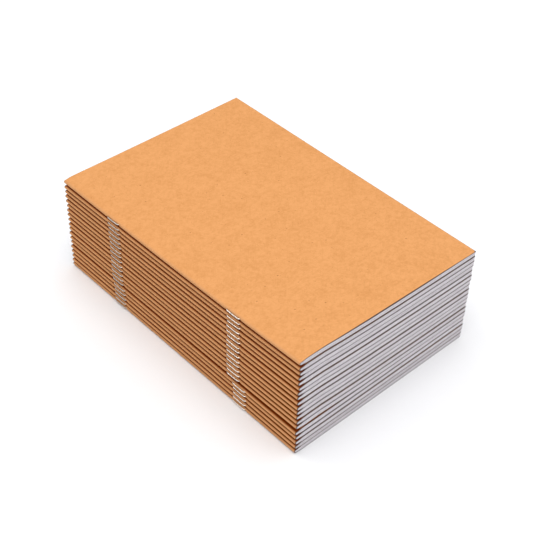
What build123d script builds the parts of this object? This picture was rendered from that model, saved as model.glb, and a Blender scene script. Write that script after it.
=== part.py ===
from build123d import *

import os
from math import ceil, sin

# A squared-up stack of saddle-stitched pocket notebooks with kraft board covers.
#
# Frame, in millimetres: +Z up, +Y towards the head of the notebooks, -X towards their
# spines and +X towards their fore-edges. The origin is the middle of the stack's underside.
#
# Each notebook is a board cover wrapped round nested folded sheets, all held by two wire
# staples through the fold. The folds are half-round and share one centre line, the fold
# line, which every notebook is drawn about. Notebook 1 is on top, and opens: its front
# cover, its first leaf and the rest of its front leaves are pieces of their own, which turn
# about a hinge line along the top of the spine.

# Driving dimensions of one notebook
NOTEBOOK_WIDTH = 102.0  # from the outside of the spine to the fore-edge
SPINE_LENGTH = 152.0  # from head to tail
BOARD = 0.30  # thickness of the kraft cover board
SHEET = 0.085  # thickness of one sheet of paper
SHEET_GAP = 0.010  # clearance between neighbouring sheets
SHEET_COUNT = 10  # folded sheets, each two leaves
FOLD_RADIUS = 0.050  # inside radius of the innermost fold

# Staples, one wire each: a crown outside the spine, two legs and two bent-over ends
WIRE = 0.50  # wire diameter
CROWN = 7.7  # from leg to leg
CORNER_RADIUS = 0.050  # inside radius of the wire's four corners
ENDS_APART = 1.30  # between the two bent ends, along the inside of the fold
CROWN_SEAT = 0.020  # clearance between the crown and the spine
LEG_CLEARANCE = 0.030  # round the wire in its slits, and the least beside its bent ends

# Staple places, from the near end of the spine to the middle of each crown. The upper
# notebooks and the lower ones come from two settings of the stitching machine.
UPPER_FROM_HEAD = 36.0
UPPER_FROM_TAIL = 38.0
LOWER_FROM_HEAD = 37.0
LOWER_FROM_TAIL = 34.0

# The stack
NOTEBOOK_COUNT = 19
UPPER_COUNT = 14  # notebooks 1 to 14 are the upper ones
REST_GAP = 0.050  # clearance between one notebook and the next
SLIP_X = 0.10  # how far a notebook may stand out of line across the stack
SLIP_Y = 0.15  # and along it

# The top notebook's hinge line
HINGE_RISE = 0.030  # height of the line above the front cover
HINGE_GAP = 0.100  # clearance between the spine's edge and what turns beside it

# What follows from those
SHEET_PITCH = SHEET + SHEET_GAP
PAGE_RADIUS = FOLD_RADIUS + SHEET_COUNT * SHEET_PITCH  # inside of the cover's fold
NOSE_RADIUS = PAGE_RADIUS + BOARD  # outside of the cover's fold
THICKNESS = 2 * NOSE_RADIUS
REACH = NOTEBOOK_WIDTH - NOSE_RADIUS  # from the fold line to the fore-edge
STACK_PITCH = THICKNESS + REST_GAP
BEND_RADIUS = WIRE / 2 + CORNER_RADIUS  # of the wire's centre line
CROWN_LINE = NOSE_RADIUS + CROWN_SEAT + WIRE / 2  # crown's centre line, out from the fold line
BENT_LINE = WIRE / 2  # bent ends' centre line, in from the fold line
SLIT = WIRE + 2 * LEG_CLEARANCE
CUT_SHEETS = ceil((SLIT / 2 - FOLD_RADIUS + SHEET_GAP) / SHEET_PITCH)  # too tight for the wire
WINDOW_RADIUS = FOLD_RADIUS + CUT_SHEETS * SHEET_PITCH - SHEET_GAP / 2
OVERALL_WIDTH = REACH + CROWN_LINE + WIRE / 2
FOLD_X = CROWN_LINE + WIRE / 2 - OVERALL_WIDTH / 2  # centres the stack on the origin


def fold_line(number):
    """The middle of a notebook's fold line: the place that the notebook is drawn about."""
    slip_x = SLIP_X * sin(2.4 * number)
    slip_y = SLIP_Y * sin(1.7 * number + 0.6)
    height = THICKNESS / 2 + (NOTEBOOK_COUNT - number) * STACK_PITCH
    return Vector(FOLD_X + slip_x, slip_y, height)


def end_plane(number):
    """The upright plane across a notebook's fold line, with its Y axis up."""
    return Plane(origin=fold_line(number), x_dir=(1, 0, 0), z_dir=(0, -1, 0))


def staple_places(number):
    """Where the two staples' middles are along a notebook's fold line."""
    upper = number <= UPPER_COUNT
    from_head = UPPER_FROM_HEAD if upper else LOWER_FROM_HEAD
    from_tail = UPPER_FROM_TAIL if upper else LOWER_FROM_TAIL
    return SPINE_LENGTH / 2 - from_head, from_tail - SPINE_LENGTH / 2


def sheet_radii(layer):
    """The inner and outer radius of a sheet's fold. Layer 0 is the innermost sheet."""
    inner = FOLD_RADIUS + layer * SHEET_PITCH
    return inner, inner + SHEET


def folded_outline(inner, outer):
    """Draw a whole folded sheet end-on: two leaves joined by a half-round fold."""
    with BuildLine() as edge:
        Polyline((0, -inner), (REACH, -inner), (REACH, -outer), (0, -outer))
        ThreePointArc((0, -outer), (-outer, 0), (0, outer))
        Polyline((0, outer), (REACH, outer), (REACH, inner), (0, inner))
        ThreePointArc((0, inner), (-inner, 0), (0, -inner))
    make_face(edge.edges())


def back_outline(inner, outer):
    """Draw a folded sheet end-on without its front leaf: the fold ends at the hinge."""
    with BuildLine() as edge:
        Polyline((0, -inner), (REACH, -inner), (REACH, -outer), (0, -outer))
        ThreePointArc((0, -outer), (-outer, 0), (0, outer))
        Line((0, outer), (0, inner))
        ThreePointArc((0, inner), (-inner, 0), (0, -inner))
    make_face(edge.edges())


def front_outline(inner, outer):
    """Draw the front leaf of a folded sheet end-on, clear of the fold that it turns beside."""
    with Locations((HINGE_GAP, inner)):
        Rectangle(REACH - HINGE_GAP, outer - inner, align=(Align.MIN, Align.MIN))


def cut_leg_slits(number):
    """Cut the slits that the staple legs pass through, from outside to the fold line."""
    outside = CROWN_LINE + WIRE
    for place in staple_places(number):
        for side in (-CROWN / 2, CROWN / 2):
            with Locations(fold_line(number) + Vector(-outside / 2, place + side, 0)):
                Box(outside, SLIT, SLIT, mode=Mode.SUBTRACT)


def cut_bent_end_windows(number):
    """Cut the innermost sheets away round the staples' bent ends, which lie in their fold."""
    for place in staple_places(number):
        with BuildSketch(end_plane(number).offset(-place)) as window:
            with Locations((BENT_LINE / 2, 0)):
                SlotCenterToCenter(BENT_LINE, 2 * WINDOW_RADIUS)
        extrude(window.sketch, amount=(CROWN + SLIT) / 2, both=True, mode=Mode.SUBTRACT)


def export(piece, name):
    """Label a finished piece and write it to its own file."""
    piece.part.label = name
    export_step(piece.part, f"parts/{name}.step")


def make_boards(number, name, outline):
    """One piece of a notebook's cover, with the outline that it has end-on."""
    with BuildPart() as board:
        with BuildSketch(end_plane(number)):
            outline(PAGE_RADIUS, NOSE_RADIUS)
        extrude(amount=SPINE_LENGTH / 2, both=True)
        cut_leg_slits(number)
    export(board, name)


def make_leaves(number, name, outline, layers):
    """A group of a notebook's sheets or leaves, one solid for each layer."""
    with BuildPart() as leaves:
        with BuildSketch(end_plane(number)):
            for layer in layers:
                outline(*sheet_radii(layer))
        extrude(amount=SPINE_LENGTH / 2, both=True)
        cut_leg_slits(number)
        cut_bent_end_windows(number)
    export(leaves, name)


def make_staples(number, name):
    """A notebook's two staples, each one bent wire."""
    half, end = CROWN / 2, ENDS_APART / 2
    corners = [
        (BENT_LINE, -end),
        (BENT_LINE, -half),
        (-CROWN_LINE, -half),
        (-CROWN_LINE, half),
        (BENT_LINE, half),
        (BENT_LINE, end),
    ]
    with BuildPart() as staples:
        for place in staple_places(number):
            middle = fold_line(number) + Vector(0, place, 0)
            with BuildLine(Plane(origin=middle)) as wire:
                FilletPolyline(*corners, radius=BEND_RADIUS)
            with BuildSketch(Plane(origin=wire.line @ 0, z_dir=wire.line % 0)):
                Circle(WIRE / 2)
            sweep(path=wire.line)
    export(staples, name)


def make_closed_notebook(number):
    """A notebook that stays shut: a folded cover, its folded sheets and its staples."""
    name = f"notebook_{number:02d}"
    make_boards(number, f"{name}_cover", folded_outline)
    make_leaves(number, f"{name}_pages", folded_outline, range(SHEET_COUNT))
    make_staples(number, f"{name}_staples")


def make_top_notebook():
    """The notebook that opens, split at the hinge line into what turns and what stays."""
    outermost = SHEET_COUNT - 1
    make_boards(1, "back_cover", back_outline)
    make_boards(1, "front_cover", front_outline)
    make_leaves(1, "back_leaves", back_outline, range(SHEET_COUNT))
    make_leaves(1, "front_leaves", front_outline, range(outermost))
    make_leaves(1, "first_leaf", front_outline, [outermost])
    make_staples(1, "top_staples")


os.makedirs("parts", exist_ok=True)
make_top_notebook()
for notebook in range(2, NOTEBOOK_COUNT + 1):
    make_closed_notebook(notebook)

hinge = fold_line(1) + Vector(0, 0, NOSE_RADIUS + HINGE_RISE)
print(f"stack {NOTEBOOK_COUNT * STACK_PITCH - REST_GAP:.3f} high, notebook {THICKNESS:.3f} thick")
print(f"hinge line at X {hinge.X:.4f}, Z {hinge.Z:.4f}")
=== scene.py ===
"""The looks of a squared-up stack of saddle-stitched pocket notebooks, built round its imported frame.

Lengths are in metres. +Z is up, -X is the spines' side and -Y is the tails' side. Notebook 1 is on
top, and opens. Every notebook is drawn about its fold line, which its own CAD boxes give.
"""
import logging
import math
import random
from dataclasses import dataclass, field, replace
from enum import Enum
from typing import Any, ClassVar

import bpy
import numpy as np
from mathutils import Matrix, Vector


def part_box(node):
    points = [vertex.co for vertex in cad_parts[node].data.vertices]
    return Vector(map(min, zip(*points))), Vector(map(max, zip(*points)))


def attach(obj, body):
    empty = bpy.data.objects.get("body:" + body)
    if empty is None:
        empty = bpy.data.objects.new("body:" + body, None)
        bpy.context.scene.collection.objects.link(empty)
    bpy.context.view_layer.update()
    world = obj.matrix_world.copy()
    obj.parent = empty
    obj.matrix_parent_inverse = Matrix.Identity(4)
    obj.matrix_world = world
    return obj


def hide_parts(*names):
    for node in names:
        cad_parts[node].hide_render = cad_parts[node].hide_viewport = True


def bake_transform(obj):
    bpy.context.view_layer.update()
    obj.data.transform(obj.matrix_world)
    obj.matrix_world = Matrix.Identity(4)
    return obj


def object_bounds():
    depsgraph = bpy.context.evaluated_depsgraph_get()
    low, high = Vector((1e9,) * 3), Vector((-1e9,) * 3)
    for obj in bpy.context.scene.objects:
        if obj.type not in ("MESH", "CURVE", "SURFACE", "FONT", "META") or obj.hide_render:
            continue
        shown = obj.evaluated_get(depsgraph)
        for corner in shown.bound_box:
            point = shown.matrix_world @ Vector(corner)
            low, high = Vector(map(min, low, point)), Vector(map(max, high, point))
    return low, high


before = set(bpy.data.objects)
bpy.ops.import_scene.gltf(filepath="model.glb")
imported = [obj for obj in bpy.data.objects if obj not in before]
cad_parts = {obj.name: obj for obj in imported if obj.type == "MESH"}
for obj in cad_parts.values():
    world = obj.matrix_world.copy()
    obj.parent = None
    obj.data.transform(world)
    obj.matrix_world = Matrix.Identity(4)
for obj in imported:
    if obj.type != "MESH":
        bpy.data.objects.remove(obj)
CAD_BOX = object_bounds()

LOG = logging.getLogger("notebooks")
MM = 0.001
NOTEBOOKS = 19
UPPER_SETTING = 14  # the last notebook of the upper ones, whose staples are set differently
SEED = 11
SHARP = math.radians(50)  # the least angle between faces that stays a sharp edge
Colour = tuple[float, float, float, float]


def add_object(name: str, data: bpy.types.ID) -> bpy.types.Object:
    """Put a mesh, a lamp or a camera into the scene, as an object.

    Args:
        name: The object's name.
        data: What it holds.

    Returns:
        The object.
    """
    thing = bpy.data.objects.new(name, data)
    bpy.context.scene.collection.objects.link(thing)
    return thing


# ---- shader nodes


class Wiring:
    """Puts nodes into one node tree and joins them up."""

    def __init__(self, tree: bpy.types.NodeTree) -> None:
        """Start wiring a tree."""
        self.tree = tree

    def add(self, kind: str, inputs: dict[Any, Any] | None = None, **settings: Any) -> bpy.types.Node:
        """Add one node.

        Args:
            kind: The node's type, without the leading "ShaderNode".
            inputs: What goes into its sockets, by name or by place: another socket, or a constant.
            settings: The node's own settings.

        Returns:
            The new node.
        """
        node = self.tree.nodes.new("ShaderNode" + kind)
        for name, value in settings.items():
            setattr(node, name, value)
        for key, value in (inputs or {}).items():
            if isinstance(value, bpy.types.NodeSocket):
                self.join(value, node.inputs[key])
            else:
                node.inputs[key].default_value = value
        return node

    def join(self, value: bpy.types.NodeSocket, target: bpy.types.NodeSocket) -> None:
        """Lead one socket into another."""
        self.tree.links.new(value, target)

    def math(self, operation: str, *values: Any) -> bpy.types.NodeSocket:
        """Work out one sum, a Math node's operation on sockets or numbers."""
        return self.add("Math", dict(enumerate(values)), operation=operation).outputs[0]

    def times(self, value: Any, factor: Any) -> bpy.types.NodeSocket:
        """Multiply two numbers."""
        return self.math("MULTIPLY", value, factor)

    def ramp(self, value: Any, low: float, high: float, start: float = 0.0, end: float = 1.0) -> Any:
        """Ease a value that goes from low to high into one from start to end, held beyond them."""
        inputs = {0: value, 1: low, 2: high, 3: start, 4: end}
        return self.add("MapRange", inputs, interpolation_type="SMOOTHSTEP").outputs[0]

    def noise(self, place: Any, scale: float, detail: float = 2.0, rough: float = 0.5) -> Any:
        """Add soft random values from 0 to 1, with scale as the features in each metre."""
        inputs = {"Vector": place, "Scale": scale, "Detail": detail, "Roughness": rough}
        return self.add("TexNoise", inputs).outputs["Fac"]

    def stretch(self, place: Any, factors: tuple[float, float, float], turn: float = 0.0) -> Any:
        """Multiply coordinates axis by axis, after a turn about Z in degrees."""
        if turn:
            inputs = {"Vector": place, "Angle": math.radians(turn)}
            place = self.add("VectorRotate", inputs, rotation_type="Z_AXIS").outputs[0]
        return self.add("VectorMath", {0: place, 1: factors}, operation="MULTIPLY").outputs[0]

    def mix(self, share: Any, first: Any, second: Any) -> Any:
        """Mix two colours, with share as how much of the second shows."""
        return self.add("Mix", {0: share, 6: first, 7: second}, data_type="RGBA").outputs[2]

    def effect(self, tree: bpy.types.NodeTree, **inputs: Any) -> bpy.types.Node:
        """Place a shared effect's group, with _ for a space in the names of its inputs."""
        named = {name.replace("_", " "): value for name, value in inputs.items()}
        return self.add("Group", named, node_tree=tree)

    def attribute(self, name: str, output: str) -> Any:
        """Read what a mesh says about itself, as a "Vector" or as a number, "Fac"."""
        return self.add("Attribute", attribute_name=name).outputs[output]


class Effects:
    """The effects that the finishes are made with, each a node group that is built once."""

    KINDS: ClassVar[dict[str, str]] = {"V": "Vector", "F": "Float", "C": "Color"}
    CLOUDS, PULP = 150.0, 650.0  # patches of tone in each metre, large and small
    STRAND = (260.0, 2400.0, 260.0)  # strands in each metre, along and across
    STRAND_TURNS = (0.0, 58.0, -47.0)  # the ways that the strands lie, in degrees
    TONES = (0.30, 0.72)  # from where the ground begins to shade to where it is all shaded
    # Slivers and specks: cells in each metre, size, share of the cells that have one, turn
    FLECKS = ((150.0, 0.050, 0.16, 25.0), (480.0, 0.075, 0.16, -35.0))
    SLENDER = 1.6  # how much longer a fleck is than it is wide
    SHEET_SHIFT = (17.0, 31.0)  # what moves the flecks from one sheet to the next
    BREAKS = 700.0  # of the wear along an edge, in each metre
    DRAWN = (9000.0, 500.0, 9000.0)  # lines of drawn wire in each metre
    PLATING = 900.0  # patches in its plating in each metre
    DULL_FROM, DULL_TO, DULLED = -10.0 * MM, 10.0 * MM, 0.85  # where along the spine painted shade darkens and dulls the wire towards the head, and how much
    WIRE_ROUGH, DULL_ROUGH = 0.20, 0.22  # the bright wire's roughness, and what dullness adds

    def __init__(self) -> None:
        """Build every group."""
        self.fibres = self._fibres()
        self.flecks = self._flecks()
        self.rim_wear = self._rim_wear()
        self.ruling = self._ruling()
        self.drawn_wire = self._drawn_wire()

    def _open(self, name: str, inputs: str, outputs: str) -> tuple[Wiring, Any, Any]:
        """Start a group.

        Args:
            name: The group's name.
            inputs: Its inputs, such as "Place:V Amount:F", with _ for a space.
            outputs: Its outputs, written the same way.

        Returns:
            Its wiring, what comes in and what goes out.
        """
        tree = bpy.data.node_groups.new(name, "ShaderNodeTree")
        for way, listed in (("INPUT", inputs), ("OUTPUT", outputs)):
            for entry in listed.split():
                label, kind = entry.split(":")
                kind = "NodeSocket" + self.KINDS[kind]
                tree.interface.new_socket(name=label.replace("_", " "), in_out=way, socket_type=kind)
        brought = tree.nodes.new("NodeGroupInput").outputs
        given = tree.nodes.new("NodeGroupOutput").inputs
        return Wiring(tree), brought, given

    def _fibres(self) -> bpy.types.NodeTree:
        """The clouded tone of paper pulp, with the fibres that lie in it.

        Returns:
            The group.
        """
        w, put, out = self._open("pulp_fibres", "Place:V Ground:C Shade:C Clouding:F", "Color:C Height:F")
        clouds = w.noise(put["Place"], self.CLOUDS, 3.0, 0.6)
        pulp = w.noise(put["Place"], self.PULP, 4.0, 0.7)
        strands = [
            w.noise(w.stretch(put["Place"], self.STRAND, turn), 1.0, 2.0, 0.6)
            for turn in self.STRAND_TURNS
        ]
        laid = w.math("MAXIMUM", w.math("MAXIMUM", strands[0], strands[1]), strands[2])
        tone = w.math("ADD", w.times(clouds, 0.30), w.times(pulp, 0.70))
        tone = w.math("ADD", tone, w.times(w.math("SUBTRACT", laid, 0.6), 0.6))
        share = w.times(w.ramp(tone, *self.TONES), put["Clouding"])
        w.join(w.mix(share, put["Ground"], put["Shade"]), out["Color"])
        w.join(w.math("ADD", w.times(laid, 0.7), pulp), out["Height"])
        return w.tree

    def _flecks(self) -> bpy.types.NodeTree:
        """Sparse specks and slivers of bark, of uneven size.

        Returns:
            The group.
        """
        w, put, out = self._open("bark_flecks", "Place:V Amount:F", "Mask:F")
        masks = []
        tag = w.add("SeparateXYZ", {0: put["Place"]}).outputs["Z"]
        shift = {axis: w.times(tag, times) for axis, times in enumerate(self.SHEET_SHIFT)}
        apart = w.add("CombineXYZ", shift).outputs[0]
        sheet = w.add("VectorMath", {0: put["Place"], 1: apart}, operation="ADD").outputs[0]
        for cell, reach, share, turn in self.FLECKS:
            place = w.stretch(sheet, (cell, cell * self.SLENDER, cell), turn)
            spots = w.add(
                "TexVoronoi", {"Vector": place, "Scale": 1.0, "Randomness": 1.0}, voronoi_dimensions="2D"
            )
            parts = w.add("SeparateColor", {"Color": spots.outputs["Color"]})
            chosen = w.math("LESS_THAN", parts.outputs[0], w.times(put["Amount"], share))
            size = w.times(w.math("ADD", parts.outputs[1], 0.35), reach)
            near = w.math("SUBTRACT", 1.0, w.math("DIVIDE", spots.outputs["Distance"], size))
            masks.append(w.times(w.ramp(near, 0.0, 0.5), chosen))
        w.join(w.math("MAXIMUM", *masks), out["Mask"])
        return w.tree

    def _rim_wear(self) -> bpy.types.NodeTree:
        """Scuffing that follows a trimmed edge, broken up by noise.

        Returns:
            The group.
        """
        w, put, out = self._open("rim_wear", "Rim:F Place:V Width:F", "Mask:F")
        broken = w.ramp(w.noise(put["Place"], self.BREAKS, 3.0, 0.7), 0.25, 0.75, 0.25, 1.6)
        width = w.times(put["Width"], broken)
        near = w.math("SUBTRACT", 1.0, w.math("DIVIDE", put["Rim"], width))
        w.join(w.ramp(near, 0.0, 1.0), out["Mask"])
        return w.tree

    def _ruling(self) -> bpy.types.NodeTree:
        """Plain ruled lines across a leaf, clear of its head and tail.

        Returns:
            The group.
        """
        w, put, out = self._open("ruled_lines", "Place:V Spacing:F Line:F Margin:F", "Mask:F")
        along = w.add("SeparateXYZ", {0: put["Place"]}).outputs["Y"]
        off = w.math("PINGPONG", along, w.times(put["Spacing"], 0.5))
        line = w.math("LESS_THAN", off, w.times(put["Line"], 0.5))
        inside = w.math("LESS_THAN", w.math("ABSOLUTE", along), put["Margin"])
        w.join(w.times(line, inside), out["Mask"])
        return w.tree

    def _drawn_wire(self) -> bpy.types.NodeTree:
        """The fine lines of drawn wire, and its plating, dulled in patches, with painted shade that
        darkens it towards the head.

        Returns:
            The group.
        """
        w, put, out = self._open("drawn_wire", "Place:V Bright:C Dull:C", "Color:C Roughness:F Height:F")
        drawn = w.noise(w.stretch(put["Place"], self.DRAWN), 1.0, 2.0, 0.6)
        dull_and_head_shade = w.ramp(w.noise(put["Place"], self.PLATING, 3.0, 0.6), 0.45, 0.75)
        along = w.add("SeparateXYZ", {0: put["Place"]}).outputs["Y"]
        # Painted shade: the wire darker and rougher towards the head, where it shows less highlight; the
        # patches are dull plating.
        dull_and_head_shade = w.math("MAXIMUM", dull_and_head_shade, w.ramp(along, self.DULL_FROM, self.DULL_TO, 0.0, self.DULLED))
        rough = w.math("ADD", self.WIRE_ROUGH, w.times(dull_and_head_shade, self.DULL_ROUGH))
        w.join(w.mix(dull_and_head_shade, put["Bright"], put["Dull"]), out["Color"])
        w.join(rough, out["Roughness"])
        w.join(drawn, out["Height"])
        return w.tree


@dataclass(frozen=True)
class Finish:
    """What every finish has: a name, two tones, a bump and a roughness."""

    name: str = "finish"
    ground: Colour = (0.8, 0.8, 0.8, 1.0)
    shade: Colour = (0.7, 0.7, 0.7, 1.0)
    clouding: float = 0.9  # how much of the shade shows in the ground
    gloss: float = 0.06
    bump: float = 0.3
    relief: float = 0.02 * MM
    rough: float = 0.62  # at its smoothest
    rougher: float = 0.20  # what its roughest places add
    rough_grain: float = 300.0  # rough places in each metre

    def start(self, constants: dict[str, Any]) -> tuple[bpy.types.Material, Wiring, bpy.types.Node]:
        """Make a material with one Principled shader.

        Args:
            constants: The shader's values that are the same all over.

        Returns:
            The material, its wiring and its shader.
        """
        material = bpy.data.materials.new(self.name)
        material.use_nodes = True
        material.node_tree.nodes.clear()
        w = Wiring(material.node_tree)
        shader = w.add("BsdfPrincipled", constants)
        w.add("OutputMaterial", {"Surface": shader.outputs[0]})
        return material, w, shader

    def emboss(self, w: Wiring, shader: bpy.types.Node, height: Any) -> None:
        """Give a shader its relief, from a height of 0 to about 1."""
        inputs = {"Strength": self.bump, "Distance": self.relief, "Height": height}
        w.join(w.add("Bump", inputs).outputs[0], shader.inputs["Normal"])

    def roughen(self, w: Wiring, shader: bpy.types.Node, place: Any) -> None:
        """Give a shader its uneven roughness."""
        uneven = w.times(w.noise(place, self.rough_grain, 3.0), self.rougher)
        w.join(w.math("ADD", self.rough, uneven), shader.inputs["Roughness"])

    def pulp(self, w: Wiring, effects: Effects, place: Any) -> bpy.types.Node:
        """Place the pulp's effect, which gives the colour and the relief."""
        tones = {"Ground": self.ground, "Shade": self.shade, "Clouding": self.clouding}
        return w.effect(effects.fibres, Place=place, **tones)


@dataclass(frozen=True)
class KraftFinish(Finish):
    """Unbleached kraft board: clouded orange-tan, with fibres, flecks and scuffs along its edges, and
    painted shade in the grooves, on the fold and along the trimmed edges.
    """

    name: str = "kraft_board"
    ground: Colour = (0.735, 0.345, 0.130, 1.0)
    shade: Colour = (0.610, 0.272, 0.090, 1.0)
    fleck: Colour = (0.250, 0.090, 0.026, 1.0)
    # Scuffed kraft along trimmed edges; on the fold it is also painted shade on the spine side.
    scuff_and_fold_shade: Colour = (0.590, 0.300, 0.138, 1.0)
    # The trimmed edge's own brown, made near-black with painted shade of the gaps between boards.
    cut: Colour = (0.095, 0.066, 0.062, 1.0)
    # Painted shade in the groove beside the fold.
    groove_shade: Colour = (0.245, 0.043, 0.002, 1.0)
    flecked: float = 0.75  # how strongly the flecks show
    fold_half: float = 2.0 * MM  # how far each side of the fold's middle the board is cracked and darkened with painted shade
    cracks: tuple[float, float, float] = (900.0, 3200.0, 900.0)  # in each metre
    crack_wear_and_shade: tuple[float, float] = (0.45, 0.90)  # how much the cracks and the fold's painted shade show, at least and at most
    scuff_width: float = 0.45 * MM
    scuffs: float = 0.35  # how much the scuffs along the edges show
    groove_shade_from: tuple[float, float] = (0.45 * MM, 1.4 * MM)  # where the painted shade in the groove beside the fold comes in
    groove_shade_to: tuple[float, float] = (2.8 * MM, 4.4 * MM)  # and where it goes
    sides_meet: float = 0.4 * MM  # how softly the front board's side of it meets the back's
    front_groove_shade: float = 1.0  # how much of the painted groove shade the front board's side gets
    edge_shade_width: float = 0.50 * MM  # how far in from a trimmed edge painted shade darkens the board

    def make(self, effects: Effects) -> bpy.types.Material:
        """Build the material.

        Args:
            effects: The shared node groups.

        Returns:
            The material.
        """
        material, w, shader = self.start({"Specular IOR Level": self.gloss})
        place, rim = w.attribute("lie", "Vector"), w.attribute("rim", "Fac")
        pulp = self.pulp(w, effects, place)
        flecks = w.effect(effects.flecks, Place=place, Amount=1.0).outputs[0]
        colour = w.mix(w.times(flecks, self.flecked), pulp.outputs[0], self.fleck)
        side = w.add("SeparateXYZ", {0: place}).outputs[0]
        across = w.math("ABSOLUTE", side)
        # Crack wear on the fold, with painted shade that darkens the rounded spine side; the scuffs along
        # trimmed edges are wear.
        cracks = w.noise(w.stretch(place, self.cracks), 1.0, 3.0, 0.7)
        fold = w.ramp(across, 0.3 * self.fold_half, self.fold_half, 1.0, 0.0)
        fold = w.times(fold, w.ramp(cracks, 0.38, 0.68, *self.crack_wear_and_shade))
        scuffs = w.effect(effects.rim_wear, Rim=rim, Place=place, Width=self.scuff_width).outputs[0]
        wear_and_fold_shade = w.math("MAXIMUM", fold, w.times(scuffs, self.scuffs))
        colour = w.mix(wear_and_fold_shade, colour, self.scuff_and_fold_shade)
        front = w.ramp(side, -self.sides_meet, self.sides_meet, 1.0, self.front_groove_shade)
        # Painted shade in the groove beside the fold, between one notebook and the next.
        groove_shade_mask = w.times(w.ramp(across, *self.groove_shade_from), w.ramp(across, *self.groove_shade_to, 1.0, 0.0))
        colour = w.mix(w.times(groove_shade_mask, front), colour, self.groove_shade)
        # Painted shade: the trimmed edges and a band beside them darkened, as in the gaps between
        # notebooks.
        colour = w.mix(w.ramp(rim, 0.1 * self.edge_shade_width, self.edge_shade_width, 1.0, 0.0), colour, self.cut)
        w.join(colour, shader.inputs["Base Color"])
        self.roughen(w, shader, place)
        self.emboss(w, shader, w.math("ADD", pulp.outputs[1], w.times(wear_and_fold_shade, 0.5)))
        return material


@dataclass(frozen=True)
class PaperFinish(Finish):
    """Cool white page paper, faintly ruled, with painted shade along the leaves' edges, and the cut edges
    a little greyer in streaks of painted shade between the sheets.
    """

    name: str = "page_paper"
    bump: float = 0.15
    relief: float = 0.008 * MM
    rough: float = 0.72
    rougher: float = 0.16
    clouding: float = 0.35
    gloss: float = 0.25
    ground: Colour = (0.800, 0.795, 0.805, 1.0)
    shade: Colour = (0.740, 0.735, 0.760, 1.0)
    cut: Colour = (0.890, 0.845, 0.880, 1.0)
    # Painted shade lines: some sheets' cut edges greyer than others'.
    sheet_line_shade: Colour = (0.490, 0.460, 0.500, 1.0)
    # Painted shade near a leaf's edges, in the gaps between leaves and under the front cover.
    gap_shade: Colour = (0.130, 0.075, 0.050, 1.0)
    gap_shade_width: float = 0.5 * MM  # how far in from its edges painted shade darkens a leaf
    gap_shade_strength: float = 0.8  # and how much
    streaks: tuple[float, float, float] = (90.0, 90.0, 30000.0)  # grey streaks of painted shade between sheets, in each metre of cut edge
    line: Colour = (0.420, 0.500, 0.640, 1.0)
    printed: float = 0.55  # how strongly the lines show
    spacing: float = 7.0 * MM
    line_width: float = 0.18 * MM
    margin: float = 62.0 * MM  # how far from a leaf's middle the last lines may be

    def make(self, effects: Effects) -> bpy.types.Material:
        """Build the material.

        Args:
            effects: The shared node groups.

        Returns:
            The material.
        """
        material, w, shader = self.start({"Specular IOR Level": self.gloss})
        place, rim = w.attribute("lie", "Vector"), w.attribute("rim", "Fac")
        pulp = self.pulp(w, effects, place)
        lines = w.effect(
            effects.ruling, Place=place, Spacing=self.spacing, Line=self.line_width, Margin=self.margin
        ).outputs[0]
        colour = w.mix(w.times(lines, self.printed), pulp.outputs[0], self.line)
        # Painted shade along a leaf's edges.
        colour = w.mix(w.ramp(rim, 0.1 * self.gap_shade_width, self.gap_shade_width, self.gap_shade_strength, 0.0), colour, self.gap_shade)
        # Painted shade lines between sheets: cut edges greyer on some sheets than on others.
        streaks = w.noise(w.stretch(place, self.streaks), 1.0, 3.0, 0.7)
        edge = w.mix(w.ramp(streaks, 0.35, 0.75), self.cut, self.sheet_line_shade)
        colour = w.mix(w.math("LESS_THAN", rim, 0.01 * MM), colour, edge)
        w.join(colour, shader.inputs["Base Color"])
        self.roughen(w, shader, place)
        self.emboss(w, shader, pulp.outputs[1])
        return material


@dataclass(frozen=True)
class WireFinish(Finish):
    """Plated stitching wire, drawn bright and dulled in patches."""

    name: str = "staple_wire"
    bump: float = 0.25
    relief: float = 0.01 * MM
    ground: Colour = (0.95, 0.88, 0.79, 1.0)
    shade: Colour = (0.56, 0.51, 0.46, 1.0)

    def make(self, effects: Effects) -> bpy.types.Material:
        """Build the material.

        Args:
            effects: The shared node groups.

        Returns:
            The material.
        """
        material, w, shader = self.start({"Metallic": 1.0})
        place = w.add("TexCoord").outputs["Object"]
        wire = w.effect(effects.drawn_wire, Place=place, Bright=self.ground, Dull=self.shade)
        w.join(wire.outputs[0], shader.inputs["Base Color"])
        w.join(wire.outputs[1], shader.inputs["Roughness"])
        self.emboss(w, shader, wire.outputs[2])
        return material


@dataclass(frozen=True)
class TableFinish(Finish):
    """The plain pale table top that the stack stands on."""

    name: str = "pale_table"
    rough: float = 0.9
    clouding: float = 0.4
    gloss: float = 0.1
    ground: Colour = (0.925, 0.932, 0.95, 1.0)
    shade: Colour = (0.905, 0.912, 0.93, 1.0)

    def make(self, effects: Effects) -> bpy.types.Material:
        """Build the material.

        Args:
            effects: The shared node groups.

        Returns:
            The material.
        """
        material, w, shader = self.start({"Roughness": self.rough, "Specular IOR Level": self.gloss})
        pulp = self.pulp(w, effects, w.add("TexCoord").outputs["Object"])
        w.join(pulp.outputs[0], shader.inputs["Base Color"])
        return material


# ---- how the stack lies


@dataclass(frozen=True)
class Opening:
    """How far a notebook stands off the one under it, and how far its own leaves spring apart."""

    corner: float = 0.0  # at the tail end of the spine, dying away from there
    spine: float = 0.0  # all along the spine
    lens: float = 0.0  # a bulge beside the tail end of the spine
    wave: float = 0.0  # a slow wave along its edges
    phase: float = 0.0
    swell: float = 0.0  # how much thicker it is at the tail end of the spine


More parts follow.
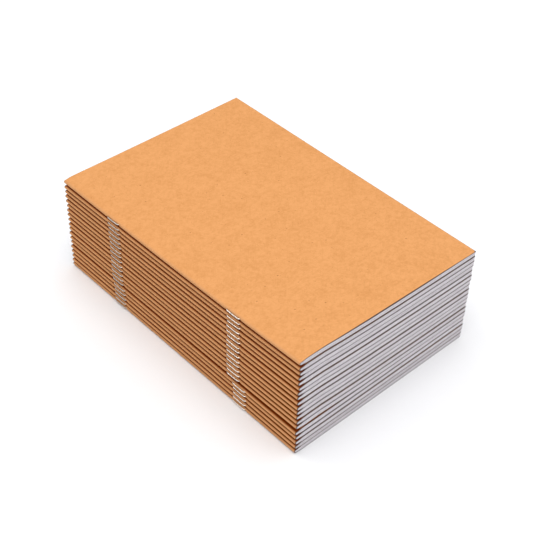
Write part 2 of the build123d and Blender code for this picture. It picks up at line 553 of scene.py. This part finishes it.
@dataclass
class StackLie:
    """How every notebook lies: each rests on what is under it, with small openings between."""

    low: Vector
    high: Vector
    even_corner: tuple[float, float] = (0.02 * MM, 0.09 * MM)
    even_swell: tuple[float, float] = (0.03 * MM, 0.07 * MM)
    even_wave: tuple[float, float] = (0.0, 0.025 * MM)
    wavy: tuple[float, float] = (5.0, 7.0)  # radians that a wave goes through, across and along
    corner_fade: tuple[float, float] = (1.6, 2.2)  # how fast the corner dies away, both ways
    spine_fade: int = 3
    lens_middle: float = 15.0 * MM
    lens_half: float = 9.0 * MM
    lens_depth: float = 22.0 * MM
    slack: dict[int, Opening] = field(default_factory=dict)

    STANDING_OUT: ClassVar[dict[int, dict[str, float]]] = {
        8: {"spine": 0.16 * MM},
        UPPER_SETTING: {"corner": 0.75 * MM, "spine": 0.24 * MM, "lens": 0.45 * MM, "swell": 0.10 * MM},
        NOTEBOOKS: {"corner": 0.0, "wave": 0.0},  # flat on the table
    }

    def __post_init__(self) -> None:
        """Draw each notebook's openings, then set those that stand out."""
        draw = random.Random(SEED)
        for number in range(1, NOTEBOOKS + 1):
            corner, swell = draw.uniform(*self.even_corner), draw.uniform(*self.even_swell)
            wave, phase = draw.uniform(*self.even_wave), draw.uniform(0.0, math.tau)
            even = Opening(corner=corner, wave=wave, phase=phase, swell=swell)
            self.slack[number] = replace(even, **self.STANDING_OUT.get(number, {}))

    def rise(self, number: int, points: np.ndarray, share: np.ndarray) -> np.ndarray:
        """How far points of a notebook stand above where a dead flat stack would hold them.

        Args:
            number: The notebook.
            points: The points, one row each.
            share: Where each point is through the notebook, from 0 underneath to 1 on top.

        Returns:
            The rise of each point.
        """
        width, length = self.high.x - self.low.x, self.high.y - self.low.y
        across = np.clip((points[:, 0] - self.low.x) / width, 0, 1)
        along = np.clip((points[:, 1] - self.low.y) / length, 0, 1)
        corner = (1 - across) ** self.corner_fade[0] * (1 - along) ** self.corner_fade[1]
        spine = (1 - across) ** self.spine_fade
        middle = (points[:, 0] - self.low.x - self.lens_middle) / self.lens_half
        lens = np.exp(-(middle**2) - along * length / self.lens_depth)
        total = np.zeros(len(points))
        for other in range(number, NOTEBOOKS + 1):
            s = self.slack[other]
            wave = 0.5 + 0.5 * np.sin(self.wavy[0] * across + self.wavy[1] * along + s.phase)
            total += s.corner * corner + s.spine * spine + s.lens * lens + s.wave * wave
            total += s.swell * corner * (share if other == number else 1.0)
        return total


# ---- folded sheets


class Fold(Enum):
    """How much of a folded sheet a piece has."""

    WHOLE = "whole"
    BACK = "back leaf and fold"
    FRONT = "front leaf"


@dataclass
class SheetShape:
    """One folded sheet seen end-on, as an outer and an inner line about the fold line."""

    outside: float  # outer radius of the fold
    thickness: float
    reach: float  # from the fold line to the fore-edge
    stations: list[float]  # where its leaves have points, from the fold line out, scaled to its reach
    steps: int  # points round the fold
    square: float = 2.0  # 2 for a half-round fold, more for a blunter one
    pinch: float = 0.40  # how much thinner the folded edge is pressed
    pinch_depth: float = 3.4 * MM
    tip: float = 0.36  # where the round of the fold starts, in outer radii past the fold line

    def _line(self, radius: float) -> np.ndarray:
        """Draw the whole line at one radius.

        Args:
            radius: The line's distance from the fold line.

        Returns:
            X and Z of its points, from the back leaf's fore-edge round to the front leaf's.
        """
        out = np.array(self.stations) * self.reach / self.stations[-1]
        out[0] = -self.tip * radius
        spread = np.clip((out - out[0]) / self.pinch_depth, 0, 1)
        full = radius * (1 - self.pinch * (1 - spread**2 * (3 - 2 * spread)))
        turn = np.linspace(-math.pi / 2, math.pi / 2, self.steps + 1)[1:-1]
        power = 2.0 / self.square
        round_x = out[0] - radius * (1 - self.tip) * np.abs(np.cos(turn)) ** power
        round_z = full[0] * np.sign(np.sin(turn)) * np.abs(np.sin(turn)) ** power
        x = np.concatenate([out[::-1], round_x, out])
        z = np.concatenate([-full[::-1], round_z, full])
        return np.stack([x, z], 1)

    def lines(self, fold: Fold) -> tuple[np.ndarray, np.ndarray, np.ndarray]:
        """Draw the part of the sheet that a piece has.

        Args:
            fold: How much of the sheet that is.

        Returns:
            The outer line, the inner line, and each point's distance along the flattened sheet
            from the middle of its fold.
        """
        outer, inner = self._line(self.outside), self._line(self.outside - self.thickness)
        lengths = np.linalg.norm(np.diff(outer, axis=0), axis=1)
        flat = np.concatenate([[0.0], np.cumsum(lengths)])
        flat -= flat[-1] / 2
        seam = len(self.stations) + self.steps  # the first point past the fold line, in front
        part = {
            Fold.WHOLE: slice(None),
            Fold.BACK: slice(None, seam + 1),
            Fold.FRONT: slice(seam, None),
        }[fold]
        return outer[part], inner[part], flat[part]


class SheetMesh:
    """Gathers thin sheets, each a closed shell, into one piece."""

    def __init__(self) -> None:
        """Start with nothing."""
        self.points: list[np.ndarray] = []
        self.lies: list[np.ndarray] = []
        self.rims: list[np.ndarray] = []
        self.faces: list[np.ndarray] = []
        self.count = 0

    def add(self, shape: SheetShape, fold: Fold, rows: np.ndarray, tag: float) -> None:
        """Add one sheet, about the origin.

        Args:
            shape: The sheet.
            fold: How much of it there is.
            rows: Where it has points along the spine.
            tag: What sets its grain apart from the other sheets' grain.
        """
        outer, inner, flat = shape.lines(fold)
        m, n = len(rows), len(flat)
        along = np.repeat(rows, n)
        ends = np.minimum(along - rows[0], rows[-1] - along)
        for line, depth in ((outer, 0.0), (inner, shape.thickness)):
            x, z = np.tile(line[:, 0], m), np.tile(line[:, 1], m)
            u = np.tile(flat, m)
            self.points.append(np.stack([x, along, z], 1))
            self.lies.append(np.stack([u, along, np.full(m * n, tag + depth)], 1))
            self.rims.append(np.minimum(ends, np.abs(shape.reach - x)))
        o = self.count + np.arange(m * n).reshape(m, n)
        i = o + m * n
        quads = [
            (o[:-1, :-1], o[:-1, 1:], o[1:, 1:], o[1:, :-1]),
            (i[:-1, :-1], i[1:, :-1], i[1:, 1:], i[:-1, 1:]),
            (o[0, :-1], i[0, :-1], i[0, 1:], o[0, 1:]),
            (o[-1, :-1], o[-1, 1:], i[-1, 1:], i[-1, :-1]),
            (o[:-1, 0], o[1:, 0], i[1:, 0], i[:-1, 0]),
            (o[:-1, -1], i[:-1, -1], i[1:, -1], o[1:, -1]),
        ]
        self.faces += [np.stack([c.ravel() for c in quad], 1) for quad in quads]
        self.count += 2 * m * n

    def place(self) -> np.ndarray:
        """All the points so far, one row each."""
        return np.concatenate(self.points)

    def build(self, name: str, points: np.ndarray, material: bpy.types.Material) -> bpy.types.Object:
        """Make the piece.

        Args:
            name: The piece's name.
            points: Its points, in the order in which they were added.
            material: Its finish.

        Returns:
            The piece.
        """
        mesh = bpy.data.meshes.new(name)
        mesh.from_pydata(points.tolist(), [], np.concatenate(self.faces).tolist())
        mesh.attributes.new("lie", "FLOAT_VECTOR", "POINT").data.foreach_set(
            "vector", np.concatenate(self.lies).astype(np.float32).ravel()
        )
        mesh.attributes.new("rim", "FLOAT", "POINT").data.foreach_set(
            "value", np.concatenate(self.rims).astype(np.float32)
        )
        mesh.shade_smooth()
        mesh.set_sharp_from_angle(angle=SHARP)
        mesh.materials.append(material)
        return add_object(name, mesh)


# ---- wire


@dataclass
class Staple:
    """One stitch of wire: a crown outside the spine, two legs and two ends bent over inside."""

    middle: float  # along the spine
    crown: float = 7.7 * MM
    wire: float = 0.50 * MM
    shoulder: float = 0.95 * MM  # bend radius where the crown turns into the legs
    clinch: float = 0.30 * MM  # bend radius where the legs turn into the bent ends
    ends_apart: float = 1.3 * MM
    crown_line: float = 1.42 * MM  # out from the fold line
    clinch_line: float = 0.25 * MM  # in from the fold line
    bow: float = 0.08 * MM  # how far the crown's middle stands out
    drop: float = 0.0  # below the middle of the spine
    tilt: float = 0.0  # its slope along the spine
    sides: int = 12
    corner_steps: int = 8  # points round a bend
    spacing: float = 0.5 * MM  # between points on the straights

    # The rings that round its ends: how far out, in wire radii, and how wide
    CAPS: ClassVar[tuple[tuple[float, float], ...]] = ((0.30, 0.95), (0.70, 0.71), (0.95, 0.31))

    def route(self) -> np.ndarray:
        """Draw the wire's middle line, with each corner an arc.

        Returns:
            Its X and Y, one row for each point.
        """
        half, end = self.crown / 2, self.ends_apart / 2
        side = [(self.clinch_line, -end), (self.clinch_line, -half), (-self.crown_line, -half)]
        corners = np.array(side + [(x, -y) for x, y in reversed(side)])
        radii = (self.clinch, self.shoulder, self.shoulder, self.clinch)
        line = [corners[0]]
        for before, corner, after, radius in zip(corners, corners[1:], corners[2:], radii):
            back = (before - corner) / np.linalg.norm(before - corner)
            on = (after - corner) / np.linalg.norm(after - corner)
            centre = corner + radius * (back + on)
            for turn in np.linspace(0, math.pi / 2, self.corner_steps):
                line.append(centre - radius * (on * math.cos(turn) + back * math.sin(turn)))
        line.append(corners[-1])
        dense = [line[0]]
        for a, b in zip(line, line[1:]):
            parts = max(1, round(float(np.linalg.norm(b - a)) / self.spacing))
            dense += [a + (b - a) * k / parts for k in range(1, parts + 1)]
        route = np.array(dense)
        on_crown = route[:, 0] < -0.9 * self.crown_line
        route[on_crown, 0] -= self.bow * (1 - (route[on_crown, 1] / half) ** 2)
        return route

    def shell(self) -> tuple[np.ndarray, list[tuple[int, ...]]]:
        """Sweep the wire along its route, with rounded ends.

        Returns:
            Its points about the fold line, and its faces.
        """
        route = self.route()
        ways = np.gradient(route, axis=0)
        ways /= np.linalg.norm(ways, axis=1)[:, None]
        sizes = np.ones(len(route))
        begin, end = route[0], route[-1]
        for cap, size in self.CAPS:
            out = cap * self.wire / 2
            route = np.vstack([begin - ways[0] * out, route, end + ways[-1] * out])
            ways = np.vstack([ways[0], ways, ways[-1]])
            sizes = np.concatenate([[size], sizes, [size]])
        angles = np.arange(self.sides) * math.tau / self.sides
        beside = np.stack([-ways[:, 1], ways[:, 0]], 1)
        radius = (self.wire / 2 * sizes)[:, None]
        x = route[:, :1] + beside[:, :1] * radius * np.cos(angles)
        y = route[:, 1:] + beside[:, 1:] * radius * np.cos(angles)
        z = radius * np.sin(angles) + self.drop + self.tilt * route[:, 1:]
        points = np.stack([x.ravel(), y.ravel() + self.middle, z.ravel()], 1)
        n, last = self.sides, len(points) - self.sides
        pairs = [(ring + k, ring + (k + 1) % n) for ring in range(0, last, n) for k in range(n)]
        faces = [(a, a + n, b + n, b) for a, b in pairs]
        faces += [tuple(range(n)), tuple(range(last + n - 1, last - 1, -1))]
        return points, faces


# ---- notebooks


@dataclass
class Materials:
    """The finishes that the stack's pieces wear."""

    kraft: bpy.types.Material
    top_kraft: bpy.types.Material
    paper: bpy.types.Material
    first_paper: bpy.types.Material
    wire: bpy.types.Material


@dataclass(frozen=True)
class Cut:
    """How one piece is made from folded sheets."""

    name: str
    node: str  # the CAD node that it stands for
    fold: Fold
    stations: list[float]  # where its leaves have points, in millimetres from the fold line
    material: bpy.types.Material


@dataclass
class Notebook:
    """A notebook that stays shut: a folded cover, its folded sheets and two staples."""

    number: int
    stack: StackLie
    materials: Materials
    board: float = 0.30 * MM
    sheet: float = 0.085 * MM
    gap: float = 0.010 * MM
    sheets: int = 10
    blunt: float = 2.35  # the cover's fold, between half-round and square
    trim: float = 0.04 * MM  # how unevenly the sheets' edges are cut
    turn: float = 0.06  # degrees that a notebook may be out of square with the stack
    staple_reach: float = 4.1 * MM  # from a staple's middle to the end of its crown
    staple_tilt: float = 0.025  # the steepest that a staple may slope
    drop: float = -0.15 * MM  # of the staples, from the middle of the spine
    dent_half: float = 5.2 * MM  # how far each way from a staple's middle its dent goes
    dent_slope: float = 1.4 * MM
    dent_height: float = 0.75 * MM
    leg_place: float = 3.85 * MM  # where the staple's legs go in
    leg_spread: float = 0.55 * MM
    dent: float = 0.20 * MM  # how deep the cover is pressed in under a staple
    leg_dent: float = 0.12 * MM  # and how much deeper where its legs go in
    grain_apart: tuple[float, float] = (0.11, 0.0093)  # between notebooks, and between sheets

    # Where a sheet has points, in millimetres: out from the fold, and each way from a staple
    STATIONS: ClassVar[list[float]] = [
        0.0, 0.4, 0.9, 1.5, 2.2, 3.1, 5.0, 12.0, 22.0, 36.0, 52.0, 68.0, 82.0, 92.0, 98.0, 99.9, 100.7
    ]
    NEAR_STAPLE: ClassVar[list[float]] = [0.0, 1.0, 2.0, 3.0, 3.5, 3.85, 4.2, 4.7, 5.4, 6.5]
    CLEAR_OF_STAPLE: ClassVar[float] = 7.5
    NEAR_END: ClassVar[float] = 1.0
    ROWS: ClassVar[int] = 17
    FOLD_STEPS: ClassVar[int] = 14
    LEAF_FOLD_STEPS: ClassVar[int] = 8

    def __post_init__(self) -> None:
        """Read where the CAD says that this notebook is."""
        self.draw = random.Random(SEED * 1000 + self.number)
        low, high = self._cover_box()
        self.radius = (high.z - low.z) / 2
        self.fold = Vector((low.x + self.radius, (low.y + high.y) / 2, (low.z + high.z) / 2))
        self.reach = high.x - self.fold.x
        self.half = (high.y - low.y) / 2
        low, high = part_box(self.staples_node)
        self.places = [low.y + self.staple_reach - self.fold.y, high.y - self.staple_reach - self.fold.y]
        self.yaw = math.radians(self.draw.uniform(-self.turn, self.turn))

    @property
    def body(self) -> str:
        """The CAD body that the notebook rides on."""
        return f"notebook_{self.number:02d}"

    @property
    def staples_node(self) -> str:
        """The CAD node of its staples."""
        return f"{self.body}_staples"

    def _cover_box(self) -> tuple[Vector, Vector]:
        """The lowest and highest corner of the whole cover."""
        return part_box(f"{self.body}_cover")

    def _place(self, points: np.ndarray) -> np.ndarray:
        """Take points from about the fold line to where they lie in the stack.

        Args:
            points: The points, about the fold line.

        Returns:
            The points in the frame.
        """
        share = np.clip((points[:, 2] + self.radius) / (2 * self.radius), 0, 1)
        middle = self.reach / 2
        x, y = points[:, 0] - middle, points[:, 1]
        c, s = math.cos(self.yaw), math.sin(self.yaw)
        placed = np.stack([x * c - y * s + middle, x * s + y * c, points[:, 2]], 1)
        placed += np.array(self.fold)
        placed[:, 2] += self.stack.rise(self.number, placed, share)
        return placed

    def _rows(self, uneven: float, dense: bool) -> np.ndarray:
        """Where a sheet has points along the spine.

        Args:
            uneven: How far its ends may be from the nominal ones.
            dense: Whether there are more of them beside the staples.

        Returns:
            The places, from the tail to the head.
        """
        ends = [self.draw.uniform(-uneven, 0) for _ in range(2)]
        rows = list(np.linspace(-self.half, self.half, self.ROWS))
        rows += [-self.half + self.NEAR_END * MM, self.half - self.NEAR_END * MM]
        if dense:
            clear = self.CLEAR_OF_STAPLE * MM
            rows = [r for r in rows if min(abs(r - p) for p in self.places) > clear]
            for place in self.places:
                rows += [place + sign * d * MM for d in self.NEAR_STAPLE for sign in (-1, 1)]
        rows = np.array(sorted(set(round(float(r), 7) for r in rows)))
        rows[0] -= ends[0]
        rows[-1] += ends[1]
        return rows

    def _dent(self, points: np.ndarray) -> np.ndarray:
        """Press a cover's fold in under its staples.

        Args:
            points: The cover's points about the fold line.

        Returns:
            The points, pressed in.
        """
        outer = np.clip(-points[:, 0] / self.radius, 0, 1) ** 0.5
        for place in self.places:
            off = np.abs(points[:, 1] - place)
            under = np.clip((self.dent_half - off) / self.dent_slope, 0, 1)
            legs = np.exp(-(((off - self.leg_place) / self.leg_spread) ** 2))
            level = np.exp(-(((points[:, 2] - self.drop) / self.dent_height) ** 2))
            points[:, 0] += outer * level * (self.dent * under + self.leg_dent * legs)
        return points

    def _leaf_shape(self, layer: int, stations: list[float]) -> SheetShape:
        """One folded sheet of pages seen end-on.

        Args:
            layer: The sheet, with 0 for the innermost.
            stations: Where its leaves have points.

        Returns:
            Its shape.
        """
        outside = self.radius - self.board - (self.sheets - layer) * (self.sheet + self.gap) + self.sheet
        blunt = 2.0 + (self.blunt - 2.0) * (layer + 1) / self.sheets
        reach = self.reach - self.draw.uniform(0, self.trim)
        return SheetShape(outside, self.sheet, reach, stations, self.LEAF_FOLD_STEPS, blunt)

    def _tag(self, layer: int = 0) -> float:
        """What sets one sheet's grain apart from the others'."""
        return self.number * self.grain_apart[0] + layer * self.grain_apart[1]

    def _finish(self, piece: bpy.types.Object, slot: str, *nodes: str) -> bpy.types.Object:
        """Hide the CAD nodes that a piece stands for, and tell of it.

        Args:
            piece: The piece.
            slot: The name of a material slot; not used.
            nodes: The CAD nodes that it stands for.

        Returns:
            The piece.
        """
        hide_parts(*nodes)
        LOG.info("%-24s %6d faces", piece.name, len(piece.data.polygons))
        return piece

    def _cover(self, cut: Cut) -> bpy.types.Object:
        """Build the cover, or a part of it.

        Args:
            cut: How it is cut.

        Returns:
            The piece.
        """
        mesh = SheetMesh()
        shape = SheetShape(self.radius, self.board, self.reach, cut.stations, self.FOLD_STEPS, self.blunt)
        mesh.add(shape, cut.fold, self._rows(0.0, True), self._tag())
        piece = mesh.build(cut.name, self._place(self._dent(mesh.place())), cut.material)
        return self._finish(piece, "kraft_board", cut.node)

    def _leaves(self, layers: range, cut: Cut) -> bpy.types.Object:
        """Build some of the sheets, or of their leaves.

        Args:
            layers: The sheets.
            cut: How they are cut.

        Returns:
            The piece.
        """
        mesh = SheetMesh()
        for layer in layers:
            shape = self._leaf_shape(layer, cut.stations)
            mesh.add(shape, cut.fold, self._rows(self.trim, False), self._tag(layer + 1))
        piece = mesh.build(cut.name, self._place(mesh.place()), cut.material)
        return self._finish(piece, "page_paper", cut.node)

    def _staples(self, name: str) -> bpy.types.Object:
        """Build the two staples.

        Args:
            name: The piece's name.

        Returns:
            The piece.
        """
        points, faces = [], []
        for place in self.places:
            tilt = self.draw.uniform(-self.staple_tilt, self.staple_tilt)
            shell, sides = Staple(middle=place, drop=self.drop, tilt=tilt).shell()
            start = sum(len(p) for p in points)
            faces += [tuple(start + v for v in side) for side in sides]
            points.append(shell)
        mesh = bpy.data.meshes.new(name)
        mesh.from_pydata(self._place(np.concatenate(points)).tolist(), [], faces)
        mesh.shade_smooth()
        mesh.materials.append(self.materials.wire)
        return self._finish(add_object(name, mesh), "staple_wire", self.staples_node)

    def build(self) -> None:
        """Build the notebook and put it on its body."""
        name, whole, finish = self.body, Fold.WHOLE, self.materials
        kraft = Cut(f"{name}_kraft", f"{name}_cover", whole, self.STATIONS, finish.kraft)
        paper = Cut(f"{name}_sheets", f"{name}_pages", whole, self.STATIONS, finish.paper)
        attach(self._cover(kraft), name)
        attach(self._leaves(range(self.sheets), paper), name)
        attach(self._staples(f"{name}_stitches"), name)


@dataclass
class TopNotebook(Notebook):
    """The notebook on top, which opens: its front leaves and its front cover are pieces of their own."""

    crease: float = 2.8 * MM  # how much of the front cover and the first leaf takes up the bend
    block_crease: float = 5.6 * MM  # how much of the leaf block does, which rolls over the cover
    lift: float = 0.75 * MM  # how far the front cover springs off its leaves at the tail
    lift_depth: float = 60.0 * MM  # how far from the tail that dies away
    lift_lean: float = 1.2  # how much nearer the fore-edge than the spine its top is
    overhang: float = 0.12 * MM  # how far the front cover stands past its leaves at the tail
    overhang_from: float = 0.15  # the share of the way out where that starts

    # Where the front leaves and the cover have points beside the fold, close enough to bend there
    CREASE_STATIONS: ClassVar[list[float]] = [0.4 + 0.25 * step for step in range(11)] + [
        3.2, 3.6, 4.0, 4.5, 5.0, 5.5, 6.5
    ]

    def _cover_box(self) -> tuple[Vector, Vector]:
        """The lowest and highest corner of the whole cover."""
        back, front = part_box("back_cover"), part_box("front_cover")
        high = Vector(max(a, b) for a, b in zip(back[1], front[1]))
        return back[0], high

    @property
    def staples_node(self) -> str:
        """The CAD node of its staples."""
        return "top_staples"

    def _bend(self, piece: bpy.types.Object, near: str, far: str, crease: float) -> None:
        """Bake a piece's placing into its mesh; nothing bends, and it goes on no body."""
        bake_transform(piece)

    def _spring(self, piece: bpy.types.Object) -> None:
        """Let the front cover stand a little off its leaves, and a little past them at the tail.

        Args:
            piece: The front cover.
        """
        points = np.array([v.co for v in piece.data.vertices])
        across = np.clip((points[:, 0] - self.fold.x) / self.reach, 0, 1)
        along = (points[:, 1] - self.fold.y + self.half) / self.lift_depth
        points[:, 2] += self.lift * np.sin(math.pi * across**self.lift_lean) * np.exp(-(along**2))
        share = np.clip(across - self.overhang_from, 0, 0.5) * 2
        points[:, 1] -= self.overhang * share * np.exp(-along * 8)  # soon gone from the tail
        piece.data.vertices.foreach_set("co", points.astype(np.float32).ravel())

    def build(self) -> None:
        """Build the notebook: its back board, back sheets and staples go on its body, its front pieces on
        none.
        """
        back, crease = self.STATIONS, self.CREASE_STATIONS
        front = back[:1] + crease + [s for s in back if s > crease[-1]]
        every, finish = range(self.sheets), self.materials
        kraft, paper = finish.top_kraft, finish.paper
        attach(self._cover(Cut("back_board", "back_cover", Fold.BACK, back, kraft)), self.body)
        pages = Cut("back_sheets", "back_leaves", Fold.BACK, back, paper)
        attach(self._leaves(every, pages), self.body)
        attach(self._staples("top_stitches"), self.body)
        block = self._leaves(every[:-1], Cut("front_sheets", "front_leaves", Fold.FRONT, front, paper))
        self._bend(block, self.body, "leaf_block", self.block_crease)
        first = Cut("first_sheet", "first_leaf", Fold.FRONT, front, finish.first_paper)
        self._bend(self._leaves(every[-1:], first), "leaf_block", "top_leaf", self.crease)
        cover = self._cover(Cut("front_board", "front_cover", Fold.FRONT, front, kraft))
        self._spring(cover)
        self._bend(cover, "top_leaf", "cover_flap", self.crease)


# ---- studio


@dataclass(frozen=True)
class Lamp:
    """One soft square light."""

    name: str
    place: tuple[float, float, float]
    size: float  # the side of its square
    power: float  # in watts
    colour: tuple[float, float, float]


@dataclass
class Studio:
    """A plain pale table, soft lights and the camera."""

    stand: Vector  # the middle of the stack's top face
    length: float  # of the spine
    heading: float = 46.43  # degrees from +X towards +Y
    dip: float = 41.58  # degrees below level
    roll: float = 1.74
    lens: float = 79.1
    away: tuple[float, float, float] = (-1.7727, -1.8813, 2.0982)  # of the camera, in spine lengths
    sensor: float = 36.0
    table: float = 8.0
    horizon: float = 0.26  # how strongly the room lights things from level
    zenith: float = 0.98  # and from above
    high: float = 0.8  # how high in the room it is at its brightest

    LAMPS: ClassVar[tuple[Lamp, ...]] = (
        Lamp("overhead", (-0.12, -0.16, 0.85), 0.7, 3.1, (1.0, 0.99, 0.975)),
        Lamp("back_light", (-0.25, 0.62, 0.95), 0.4, 1.0, (1.0, 0.99, 0.98)),
        Lamp("side_fill", (-0.8, -0.15, 0.45), 0.5, 0.15, (1.0, 0.98, 0.96)),
    )

    def camera(self) -> None:
        """Set up the camera."""
        data = bpy.data.cameras.new("camera")
        data.lens, data.sensor_width = self.lens, self.sensor
        data.clip_start, data.clip_end = 0.01, 50.0
        a, e, r = (math.radians(v) for v in (self.heading, self.dip, self.roll))
        ahead = Vector((math.cos(e) * math.cos(a), math.cos(e) * math.sin(a), -math.sin(e)))
        right = ahead.cross(Vector((0, 0, 1))).normalized()
        up = right.cross(ahead)
        right, up = right * math.cos(r) + up * math.sin(r), up * math.cos(r) - right * math.sin(r)
        camera = add_object("camera", data)
        camera.matrix_world = Matrix((right, up, -ahead)).transposed().to_4x4()
        camera.location = self.stand + Vector(self.away) * self.length
        bpy.context.scene.camera = camera

    def hang(self, lamp: Lamp) -> None:
        """Hang one light, facing the stack.

        Args:
            lamp: The light.
        """
        data = bpy.data.lights.new(lamp.name, "AREA")
        data.shape, data.size, data.energy, data.color = "SQUARE", lamp.size, lamp.power, lamp.colour
        light = add_object(lamp.name, data)
        light.location = lamp.place
        light.rotation_mode = "QUATERNION"
        light.rotation_quaternion = (self.stand - Vector(lamp.place)).to_track_quat("-Z", "Y")

    def floor(self, material: bpy.types.Material) -> None:
        """Lay the table top, with its finish."""
        half = self.table / 2
        mesh = bpy.data.meshes.new("table_top")
        corners = [(-half, -half, 0), (half, -half, 0), (half, half, 0), (-half, half, 0)]
        mesh.from_pydata(corners, [], [(0, 1, 2, 3)])
        mesh.materials.append(material)
        table = add_object("table_top", mesh)
        table.location.z = CAD_BOX[0].z

    def world(self) -> None:
        """Light everything softly from all round, and more from above."""
        world = bpy.data.worlds.new("soft_room")
        world.use_nodes = True
        w = Wiring(world.node_tree)
        background = world.node_tree.nodes["Background"]
        background.inputs["Color"].default_value = (1.0, 1.0, 1.0, 1.0)
        height = w.add("SeparateXYZ", {0: w.add("TexCoord").outputs["Generated"]}).outputs["Z"]
        seen = w.add("LightPath").outputs["Is Camera Ray"]
        strength = w.math("MAXIMUM", w.ramp(height, 0.0, self.high, self.horizon, self.zenith), seen)
        w.join(strength, background.inputs["Strength"])
        bpy.context.scene.world = world
        bpy.context.scene.view_settings.view_transform = "Standard"

    def build(self, material: bpy.types.Material) -> None:
        """Set up the whole studio.

        Args:
            material: The table top's finish.
        """
        self.camera()
        self.floor(material)
        self.world()
        for lamp in self.LAMPS:
            self.hang(lamp)


def main() -> None:
    """Build everything in order."""
    logging.basicConfig(level=logging.INFO, format="%(name)s: %(message)s")
    effects = Effects()
    materials = Materials(
        KraftFinish().make(effects),
        # The top board: no painted groove shade on its front side, and only a narrow band of painted edge
        # shade.
        KraftFinish(name="top_kraft_board", front_groove_shade=0.0, edge_shade_width=0.10 * MM).make(effects),
        PaperFinish().make(effects),
        # The first sheet, with a wider, stronger band of painted shade under the front cover.
        PaperFinish(name="first_sheet_paper", gap_shade_width=1.1 * MM, gap_shade_strength=0.95).make(effects),
        WireFinish().make(effects),
    )
    lie = StackLie(*CAD_BOX)
    TopNotebook(1, lie, materials).build()
    for number in range(2, NOTEBOOKS + 1):
        Notebook(number, lie, materials).build()
    low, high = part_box("back_cover")
    top = Vector(((low.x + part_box("front_cover")[1].x) / 2, (low.y + high.y) / 2, high.z))
    Studio(top, high.y - low.y).build(TableFinish().make(effects))


if __name__ == "__main__":
    main()
